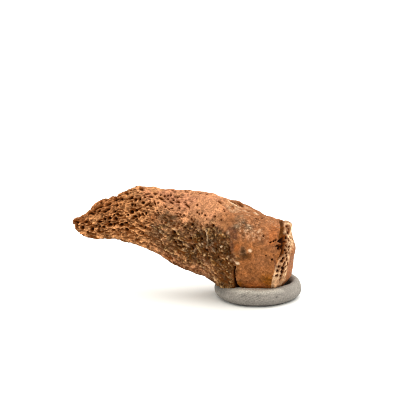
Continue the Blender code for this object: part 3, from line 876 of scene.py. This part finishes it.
def make_bone_material(look):
    """Fossil bone: dense and spongy bone, dull and chalky, stained orange by cave earth. Its
    pores, earth and crusts are masks on the mesh, and noise gives each its mottling."""
    material, tree, shader = new_material("fossil bone")
    where = add(tree, "TexCoord", out="Object")
    mask = {name: add(tree, "Attribute", out="Fac", attribute_name=name)
            for name in PAINT_LAYERS + EARTH_LAYERS + SHARE_MASKS}
    # Noise by the width of its lumps in millimetres, each with its detail and how far it is warped
    lumps = {size: add(tree, "TexNoise", {"Vector": where, "Scale": 1 / (size * MM), "Detail": detail,
                                          "Roughness": 0.6, "Distortion": warp}, "Fac")
             for size, detail, warp in ((0.2, 3.0, 0.0), (0.35, 3.0, 0.0), (0.6, 1.0, 0.8),
                                        (1.1, 2.0, 0.6), (2.5, 2.0, 0.4))}

    paint, earth = look.spongy, look.dirt
    for name in PAINT_LAYERS:
        paint = add(tree, "Mix", {0: mask[name], 6: paint, 7: getattr(look, name)}, 2, data_type="RGBA")
    for name in EARTH_LAYERS:
        earth = add(tree, "Mix", {0: mask[name], 6: earth, 7: getattr(look, name)}, 2, data_type="RGBA")
    earth = add(tree, "Mix", {0: mask["crumb"], 6: look.dirt_dark, 7: earth}, 2, data_type="RGBA")
    earth = add(tree, "Mix", {0: mask["crumb_pale"], 6: earth, 7: look.dirt_pale}, 2, data_type="RGBA")
    for name, over in (("dirt", earth), ("cream", look.cream)):
        paint = add(tree, "Mix", {0: mask[name], 6: paint, 7: over}, 2, data_type="RGBA")

    # The finest net of the spongy bone: cells of about 0.5 mm, drawn out along the blade
    flow = add(tree, "Attribute", out="Vector", attribute_name="flow")
    flow = add(tree, "VectorMath", (flow, (0.6, 1.0, 1.0)), operation="MULTIPLY")
    wall_away = add(tree, "TexVoronoi", {"Vector": flow, "Scale": 1 / 0.5}, "Distance",
                    feature="DISTANCE_TO_EDGE")
    cell_tone = add(tree, "TexVoronoi", {"Vector": flow, "Scale": 1 / 0.5}, "Color")
    cell_tone = add(tree, "SeparateColor", (cell_tone,))
    # The net's hollows, painted darker in the mottling below: painted shade, with dark fill in the cells
    hollow = add(tree, "MapRange", (wall_away, 0.08, 0.30))
    for share in (add(tree, "MapRange", (cell_tone, 0.25, 0.8)), mask["netted"]):
        hollow = add(tree, "Math", (hollow, share), operation="MULTIPLY")

    # Flakes of about 0.4 mm, some of them pale crust
    flake = add(tree, "TexVoronoi", {"Vector": where, "Scale": 1 / (0.4 * MM)}, "Color")
    flake = add(tree, "SeparateColor", (flake,))
    pale_flake = add(tree, "MapRange", (flake, 0.55, 0.85, 0.0, 0.24))
    pale_flake = add(tree, "Math", (pale_flake, mask["flaky"]), operation="MULTIPLY")
    paint = add(tree, "Mix", {0: pale_flake, 6: paint, 7: look.cream}, 2, data_type="RGBA")

    # Fine pale lines that wind over the dense bone, about 0.6 mm apart
    winding = add(tree, "Math", (lumps[0.6], 0.5), operation="SUBTRACT")
    winding = add(tree, "Math", (winding,), operation="ABSOLUTE")

    # Mottling of about 0.35 mm, calmer on the base
    mottle = add(tree, "MapRange", (lumps[0.35], 0.3, 0.7, 0.62, 1.36))
    calm = add(tree, "MapRange", (mottle, 0.62, 1.36, 0.76, 1.24))
    mottle = add(tree, "Mix", {0: mask["base"], 2: mottle, 3: calm}, data_type="FLOAT")
    # Blotches, broad mottling, painted light and shade over the relief (raised places paler and hollows
    # darker, with dirt in the hollows, and the foot of the base painted paler where the putty shades it),
    # flakes, winding lines and the net's hollows painted darker as painted shade: what is read, the range it
    # is read in, the brightness it gives there, and its mask
    for value, low, high, from_tone, to_tone, shown_by in (
            (lumps[1.1], 0.35, 0.65, 0.66, 1.34, "amber"),
            (lumps[2.5], 0.3, 0.7, 0.86, 1.12, None),
            (mask["painted_relief_light"], 0.0, 1.0, 0.60, 1.28, None),
            (flake, 0.0, 1.0, 0.55, 1.30, "flaky"),
            (winding, 0.0, 0.08, 1.36, 0.82, None),
            (hollow, 0.0, 1.0, 1.12, 0.40, "netted")):
        share = add(tree, "MapRange", (value, low, high, from_tone, to_tone))
        if shown_by:
            share = add(tree, "Mix", {0: mask[shown_by], 2: 1.0, 3: share}, data_type="FLOAT")
        mottle = add(tree, "Math", (mottle, share), operation="MULTIPLY")
    paint = add(tree, "VectorMath", {0: paint, "Scale": mottle}, operation="SCALE")

    wall = add(tree, "Mix", {0: mask["dirt"], 6: look.pore, 7: look.earth_pore}, 2, data_type="RGBA")
    # Pore walls, then painted shade at the bottom of the deep pores
    for name, over in (("pore", wall), ("hole", look.hole)):
        paint = add(tree, "Mix", {0: mask[name], 6: paint, 7: over}, 2, data_type="RGBA")
    tree.links.new(paint, shader.inputs["Base Color"])

    # Chalky grain of about 0.2 mm, and a joint face rubbed a little smoother
    bump = add(tree, "Bump", {"Height": hollow, "Strength": 0.8, "Distance": 0.15 * MM}, invert=True)
    bump = add(tree, "Bump", {"Height": lumps[0.2], "Normal": bump, "Strength": 0.7, "Distance": 0.12 * MM})
    tree.links.new(bump, shader.inputs["Normal"])
    rough = add(tree, "MapRange", (mask["facet"], 0.0, 1.0, 0.82, 0.52))
    tree.links.new(rough, shader.inputs["Roughness"])
    shader.inputs["Specular IOR Level"].default_value = 0.05
    return material


def make_putty_material(look):
    """Modelling putty: chalk in oil, dull grey, with fine lines from the fingers, a little dust, painted
    shade and a painted highlight along the front top.
    """
    material, tree, shader = new_material("modelling putty")
    where = add(tree, "TexCoord", out="Object")
    broad = add(tree, "TexNoise", {"Vector": where, "Scale": 1 / (1.8 * MM), "Detail": 4.0}, "Fac")
    speckle = add(tree, "TexNoise", {"Vector": where, "Scale": 1 / (0.3 * MM), "Detail": 2.0}, "Fac")
    shade = add(tree, "MapRange", (broad, 0.3, 0.7, 0.9, 1.08))
    speck = add(tree, "MapRange", (speckle, 0.3, 0.7, 0.68, 1.24))
    mottle = add(tree, "Math", (shade, speck), operation="MULTIPLY")
    body = look.putty
    # Painted shade (the pressed mask), then a painted highlight on the front top, laid over the putty's
    # colour
    for name, over in (("pressed", look.putty_shade), ("painted_highlight", look.putty_highlight)):
        mask = add(tree, "Attribute", out="Fac", attribute_name=name)
        body = add(tree, "Mix", {0: mask, 6: body, 7: over}, 2, data_type="RGBA")
    paint = add(tree, "VectorMath", {0: body, "Scale": mottle}, operation="SCALE")
    tree.links.new(paint, shader.inputs["Base Color"])
    bump = add(tree, "Bump", {"Height": speckle, "Strength": 0.6, "Distance": 0.08 * MM})
    tree.links.new(bump, shader.inputs["Normal"])
    shader.inputs["Roughness"].default_value = 0.72
    shader.inputs["Specular IOR Level"].default_value = 0.4
    return material


class BoneLook(bpy.types.PropertyGroup):
    """Sizes and colours of the fossil bone."""
    __annotations__ = {name: colour_property(*facts) for name, facts in BONE_COLOURS.items()}
    pore_depth: length_property("Pore depth", 0.80, "Depth of the deepest pores")
    crumb_height: length_property("Crumb height", 0.42, "Height of the crumbs of cave earth")
    grain_height: length_property("Grain height", 0.12, "Height of the fine grain of the bone")


class PuttyLook(bpy.types.PropertyGroup):
    """Sizes and colours of the putty ring."""
    putty: colour_property("Putty", "#8E8780", "Grey modelling putty")
    # Painted shade: the colour laid in the pits and finger lines, on the inner wall, under the blade and the
    # lobe, and towards the foot
    putty_shade: colour_property("Shaded putty", "#2F2F2E", "Putty in pits and where it turns under")
    # Painted highlight: the colour laid on the roll's front top, where the bone above shades it
    putty_highlight: colour_property("Highlit putty", "#C4BDB2", "Putty rubbed pale along the top")
    lump_height: length_property("Lump height", 0.10, "Height of the uneven rolling")
    line_depth: length_property("Finger lines", 0.05, "Depth of the lines left by the fingers")


class StageLook(bpy.types.PropertyGroup):
    """Light and floor of the studio."""
    floor: colour_property("Floor", "#F9F9F9", "Plain pale floor")
    sky: colour_property("Soft light", "#FFFDF3", "Colour of the light from all round")
    sky_strength: bpy.props.FloatProperty(
        name="Soft light strength", description="Light from all round", default=1.2, min=0.0)
    key_strength: bpy.props.FloatProperty(
        name="Key light strength", description="Light from upper right", default=1.95, min=0.0)
    key_softness: bpy.props.FloatProperty(
        name="Key light softness", description="Angle that the key light fills, as seen from the claw",
        default=math.radians(70), min=0.0, max=math.pi, subtype="ANGLE", unit="ROTATION")


class FOSSIL_OT_claw(bpy.types.Operator):
    """Make the fossil bone with its pores, cave earth and joint face"""
    bl_idname = "fossil.claw"
    bl_label = "Fossil claw"

    def execute(self, context):
        look = context.scene.fossil_bone
        mesh, smooth, along_x = bone_surface()
        x, y, z = smooth.T
        full_height = (through_points(TOP_EDGE, along_x) - through_points(BOTTOM_EDGE, along_x)) / 2
        level = np.clip((z - section(along_x)[1]) / full_height, -1.0, 1.0)
        zones = bone_zones(smooth, along_x, level)
        pores, ridges, flow = bone_pores(smooth, along_x, level, zones)
        crumbs, pale, crevice = bone_crumbs(smooth)
        dirt, spongy, rim_band = zones["dirt"], zones["spongy"], zones["rim_band"]
        torn = fractal(smooth / 0.4, 14, 2)
        on_crest = fade(level, 0.5, 0.75)
        streak_away, _ = line_distance(x + 0.1 * torn, y, PINK_STREAK)
        streaks = fade(np.abs(np.mod(streak_away, 0.7) - 0.35), 0.20, 0.30) * fade(streak_away, 1.2, 0.6)
        streaks *= on_crest * fade(y, 1.2, 0.2) * fade(torn, -0.5, 0.3)
        lips = ellipse_share(x, y, CREST_LIPS, 0.5, 1.4) * on_crest
        cream = np.maximum.reduce([near_marks(smooth, CREAM_GRAINS, 0.6, 1.3), 0.9 * lips, 0.45 * streaks])
        crust = np.maximum(near_marks(smooth, PALE_CRUSTS, 0.4, 1.6),
                           ellipse_share(x, y, CREST_CRUSTS, 0.4, 1.4) * on_crest)
        crust *= fade(torn, -0.5, 0.2)
        ridge_away, _ = line_distance(x + 0.15 * torn, z, RIDGE)
        ridge = fade(ridge_away, 0.22, 0.06) * zones["near"] * fade(torn, -0.9, -0.1)

        fine = look.crumb_height / MM * crumbs * dirt
        fine -= look.pore_depth / MM * pores * (1 - 0.45 * rim_band)
        fine += look.grain_height / MM * fractal(smooth / 0.55, 111, 2) * (1 - 0.6 * zones["facet"])
        fine += PALE_RIDGE_HEIGHT * ridge + CREAM_HEIGHT * cream + CRUST_HEIGHT * crust
        fine += BLADE_RIDGE_HEIGHT * ridges * spongy * (1 - 0.5 * dirt)
        lift = SPONGY_LIFT * spongy + TIP_JAG_HEIGHT * noise(smooth, 113) * fade(x, -26.0, -32.0)
        relief = (bone_relief(smooth, along_x) + fine + lift) * (fade(z, 0.8, 2.2) * 0.98 + 0.02)
        move_points(mesh, smooth + normals_of(mesh) * relief[:, None])

        lit = 0.25 * zones["earth_lit"] + 0.15 * ridges
        cream_share = np.maximum.reduce([cream, ridge * (0.25 + 0.25 * fade(z, 8.5, 10.5)), 0.4 * crust])
        netted = np.maximum(spongy * (1 - 0.5 * dirt), 0.55 * dirt) * (1 - 0.6 * cream_share)
        keep_masks(mesh, {
            **{name: zones[name] for name in PAINT_LAYERS + EARTH_LAYERS + ("dirt", "flaky")},
            "crumb": fade(pale - 0.85 * crevice + lit, -0.22, 0.27),
            "crumb_pale": 0.75 * fade(pale - 0.4 * crevice + lit, 0.35, 0.85),
            "cream": cream_share,
            "pore": fade(pores, 0.05, 0.50),
            # Painted shade at the bottom of the deep pores
            "hole": fade(pores, 0.50, 0.95),
            # Painted light and shade over the relief: raised places paler and hollows darker, with dirt in
            # the hollows, and the foot of the base painted paler where the putty shades it
            "painted_relief_light": np.maximum(fade(fine, -0.14, 0.12), 0.9 * near_marks(smooth, PAINTED_FOOT_LIGHT, 0.4, 1.4)),
            "netted": np.maximum(netted, 0.8 * rim_band * fade(z, 5.5, 7.5) * fade(z, 14.2, 13.4)),
        })
        grown = mesh.attributes.new("flow", "FLOAT_VECTOR", "POINT")
        grown.data.foreach_set("vector", flow.astype(np.float32).ravel())
        place("claw_bone", mesh, "claw", make_bone_material(look))
        return {"FINISHED"}


def roll_section(share, pressed):
    """Radius and height of the roll's section, for a share of the way round it: an ellipse with a
    flat foot. Where the bone leans on it (pressed), its inner top is wider and squarer."""
    lift = LIFT_SHARE * ROLL_HEIGHT
    foot_angle = math.acos(ROLL_FOOT_HALF_WIDTH / ROLL_HALF_WIDTH)
    on_arc = np.clip(share / ARC_SHARE, 0.0, 1.0)
    on_foot = np.clip((share - ARC_SHARE) / (1 - ARC_SHARE), 0.0, 1.0)
    angle = -foot_angle + on_arc * (math.pi + 2 * foot_angle)
    across, upward = np.cos(angle), np.sin(angle)
    inner_top = pressed * ((across < 0) & (upward > 0))
    power = 2 + 4 * inner_top
    reach = (np.abs(across) ** power + np.abs(upward) ** power) ** (-1 / power)
    wider = 1 + 0.5 * pressed * fade(across, 0.0, -0.5) * fade(upward, -0.8, 0.0)
    radius = ROLL_HALF_WIDTH * across * reach * wider + 2 * ROLL_FOOT_HALF_WIDTH * on_foot
    radius = radius - FOOT_INSET * np.clip(-upward, 0.0, 1.0) ** 2
    half = np.where(upward > 0, ROLL_HEIGHT - lift, lift / math.sin(foot_angle))
    return RING_RADIUS + radius, lift + upward * reach * half


def turned_from(turn, middle):
    """Angle from the middle to each turn, the shorter way round."""
    return np.angle(np.exp(1j * (turn - middle)))


class FOSSIL_OT_putty(bpy.types.Operator):
    """Make the rolled putty ring with the bone's print in it"""
    bl_idname = "fossil.putty"
    bl_label = "Putty ring"

    def execute(self, context):
        look = context.scene.fossil_putty
        turn = np.linspace(0, 2 * math.pi, RING_AROUND, endpoint=False)[:, None]
        share = np.linspace(0, 1, ROLL_AROUND, endpoint=False)[None, :]
        leant_on = fade(np.abs(turned_from(turn, LEAN_TURN)), 1.3, 0.5)
        radius, height = roll_section(share, leant_on)
        wave = RING_WAVE * (np.sin(3 * turn + 0.7) + 0.6 * np.sin(7 * turn + 2.0))
        under_lobe = np.exp(-(turned_from(turn, LOBE_TURN) / 0.36) ** 2)
        rise = height * (1 + 0.02 * np.sin(2 * turn + 0.5) - 0.03 * leant_on - 0.16 * under_lobe)
        places = np.stack([(radius + wave) * np.cos(turn), (radius + wave) * np.sin(turn), rise], axis=-1)
        mesh = grid_mesh("putty_roll", places, True)
        smooth = places.reshape(-1, 3)
        around = np.broadcast_to(turn, places.shape[:2]).ravel()
        x, y, z = smooth.T

        off_table = fade(z, 0.05, 0.9)
        lumps = fractal(smooth / 3.2, 201, 2) - 0.35
        lean = around * RING_RADIUS * 0.8 - z * 1.1 + 0.5 * noise(smooth / 2.0, 203)
        finger = fade(np.abs(turned_from(around, FINGER_TURN)), 0.42, 0.16)
        lines = np.cos(lean * 2 * math.pi / FINGER_LINE_SPACING) * finger * off_table
        pit_away, _, pit_pick = cell_pattern(smooth / PIT_SPACING, 204)
        pits = fade(pit_away, 0.22, 0.08) * (pit_pick > 0.55) * off_table
        relief = look.lump_height / MM * lumps + PUTTY_GRAIN_HEIGHT * fractal(smooth / 0.5, 202, 2)
        relief += look.line_depth / MM * (lines - finger) * 0.5 - PIT_DEPTH * pits
        moved = smooth + normals_of(mesh) * (relief * off_table)[:, None]

        # The bone's print: points inside the bone are pushed out of it a little at a time
        for _ in range(8):
            away, direction = outside_bone(moved)
            push = np.clip(TOUCH_GAP - away, 0.0, 0.5) * (away > -4.0)
            moved = moved + direction * push[:, None]
        moved[:, 2] = np.maximum(moved[:, 2], 0.0)
        move_points(mesh, moved)

        top = moved[:, 2]
        inner_wall = fade(np.hypot(x, y), RING_RADIUS - 0.1, RING_RADIUS - 0.9)
        streaks = fade(noise(np.stack([x / 3.0, y / 3.0, z / 0.22], axis=-1), 207), -0.2, 0.3)
        away, _ = outside_bone(moved)
        under_lobe = np.exp(-(turned_from(around, LOBE_TURN) / 0.22) ** 2)
        # Painted shade, with a little dust on the inner wall: darker in the pits and finger lines, on the
        # inner wall and its streaked part under the bone, under the blade, towards the foot and in the gap
        # under the lobe
        painted_shade = np.maximum.reduce([
            0.7 * pits, 0.3 * fade(lines, 0.2, -0.8) * finger, 0.30 * inner_wall,
            0.62 * fade(x, -4.0, -7.5) * fade(z, 0.8, 3.0),
            0.32 * fade(top, 2.6, 0.2) + 0.68 * fade(top, 0.55, 0.1),
            inner_wall * fade(x, 2.0, 4.0) * (0.15 + 0.35 * streaks),
            under_lobe * fade(away, 0.55, 0.20)])
        # Painted highlight: the front top of the roll painted paler, where the bone above shades it
        painted_highlight = 0.8 * fade(top, 2.6, 3.5) * fade(y, -5.0, -6.5) * fade(x, -5.5, -3.0)
        # The pressed mask holds the painted shade, the other the painted highlight
        keep_masks(mesh, {"pressed": painted_shade, "painted_highlight": painted_highlight})
        place("putty_roll", mesh, "putty_ring", make_putty_material(look))
        return {"FINISHED"}


def stand(scene, name, data, direction=None):
    """New object in the scene, turned so that its own z points in the direction."""
    made = bpy.data.objects.new(name, data)
    scene.collection.objects.link(made)
    if direction:
        made.rotation_mode = "QUATERNION"
        made.rotation_quaternion = direction.to_track_quat("Z", "Y")
    return made


class FOSSIL_OT_stage(bpy.types.Operator):
    """Make the pale floor, the soft light and the camera"""
    bl_idname = "fossil.stage"
    bl_label = "Studio"

    def execute(self, context):
        scene = context.scene
        look = scene.fossil_stage
        floor_mesh = bpy.data.meshes.new("floor")
        corners = [(x * FLOOR_REACH, y * FLOOR_REACH, -FLOOR_GAP * MM)
                   for x, y in ((-1, -1), (1, -1), (1, 1), (-1, 1))]
        floor_mesh.from_pydata(corners, [], [(0, 1, 2, 3)])
        # White card: matt paper with next to no shine
        card, _, shader = new_material("white card")
        shader.inputs["Base Color"].default_value = look.floor
        shader.inputs["Roughness"].default_value = 0.9
        shader.inputs["Specular IOR Level"].default_value = 0.1
        floor_mesh.materials.append(card)
        stand(scene, "floor", floor_mesh)

        world = bpy.data.worlds.new("soft light")
        world.use_nodes = True
        sky = world.node_tree.nodes["Background"]
        sky.inputs["Color"].default_value = look.sky
        sky.inputs["Strength"].default_value = look.sky_strength
        scene.world = world
        scene.view_settings.view_transform = "Standard"
        # The width of a pixel's blur, in pixels: as crisp as the lens
        scene.cycles.filter_width = 1.0

        key = bpy.data.lights.new("key light", "SUN")
        key.energy = look.key_strength
        key.angle = look.key_softness
        stand(scene, "key_light", key, Vector(KEY_DIRECTION))

        turn, tilt = math.radians(VIEW_AZIMUTH), math.radians(VIEW_ELEVATION)
        back = Vector((math.sin(turn) * math.cos(tilt), -math.cos(turn) * math.cos(tilt), math.sin(tilt)))
        right = Vector((math.cos(turn), math.sin(turn), 0.0))
        up = back.cross(right)
        axis = Vector((AXIS_X * MM, 0.0, 0.0))
        middle = IMAGE_PIXELS / 2
        aim = axis - right * (AXIS_PIXEL[0] - middle) * PIXEL_SIZE * MM
        aim += up * (AXIS_PIXEL[1] - middle) * PIXEL_SIZE * MM
        eye = axis + back * VIEW_DISTANCE * MM
        camera = bpy.data.cameras.new("camera")
        camera.sensor_width = FILM_WIDTH
        camera.lens = (aim - eye).length / MM / PIXEL_SIZE * FILM_WIDTH / IMAGE_PIXELS
        camera.clip_start, camera.clip_end = 0.01, 20.0
        scene.camera = stand(scene, "camera", camera, eye - aim)
        scene.camera.location = eye
        return {"FINISHED"}


class FOSSIL_PT_panel(bpy.types.Panel):
    """Buttons for the pieces, and their sizes and colours"""
    bl_idname = "FOSSIL_PT_panel"
    bl_label = "Fossil Claw"
    bl_space_type = "VIEW_3D"
    bl_region_type = "UI"
    bl_category = "Fossil Claw"

    def draw(self, context):
        for group, (look, operator) in GROUPS.items():
            box = self.layout.box()
            box.operator(operator.bl_idname)
            for name in look.__annotations__:
                box.prop(getattr(context.scene, group), name)


GROUPS = {
    "fossil_stage": (StageLook, FOSSIL_OT_stage),
    "fossil_bone": (BoneLook, FOSSIL_OT_claw),
    "fossil_putty": (PuttyLook, FOSSIL_OT_putty),
}


def register():
    for group, (look, operator) in GROUPS.items():
        bpy.utils.register_class(look)
        bpy.utils.register_class(operator)
        setattr(bpy.types.Scene, group, bpy.props.PointerProperty(type=look))
    bpy.utils.register_class(FOSSIL_PT_panel)


def unregister():
    bpy.utils.unregister_class(FOSSIL_PT_panel)
    for group, (look, operator) in GROUPS.items():
        delattr(bpy.types.Scene, group)
        bpy.utils.unregister_class(operator)
        bpy.utils.unregister_class(look)


def main():
    register()
    bpy.ops.fossil.stage()
    bpy.ops.fossil.claw()
    bpy.ops.fossil.putty()


if __name__ == "__main__":
    main()
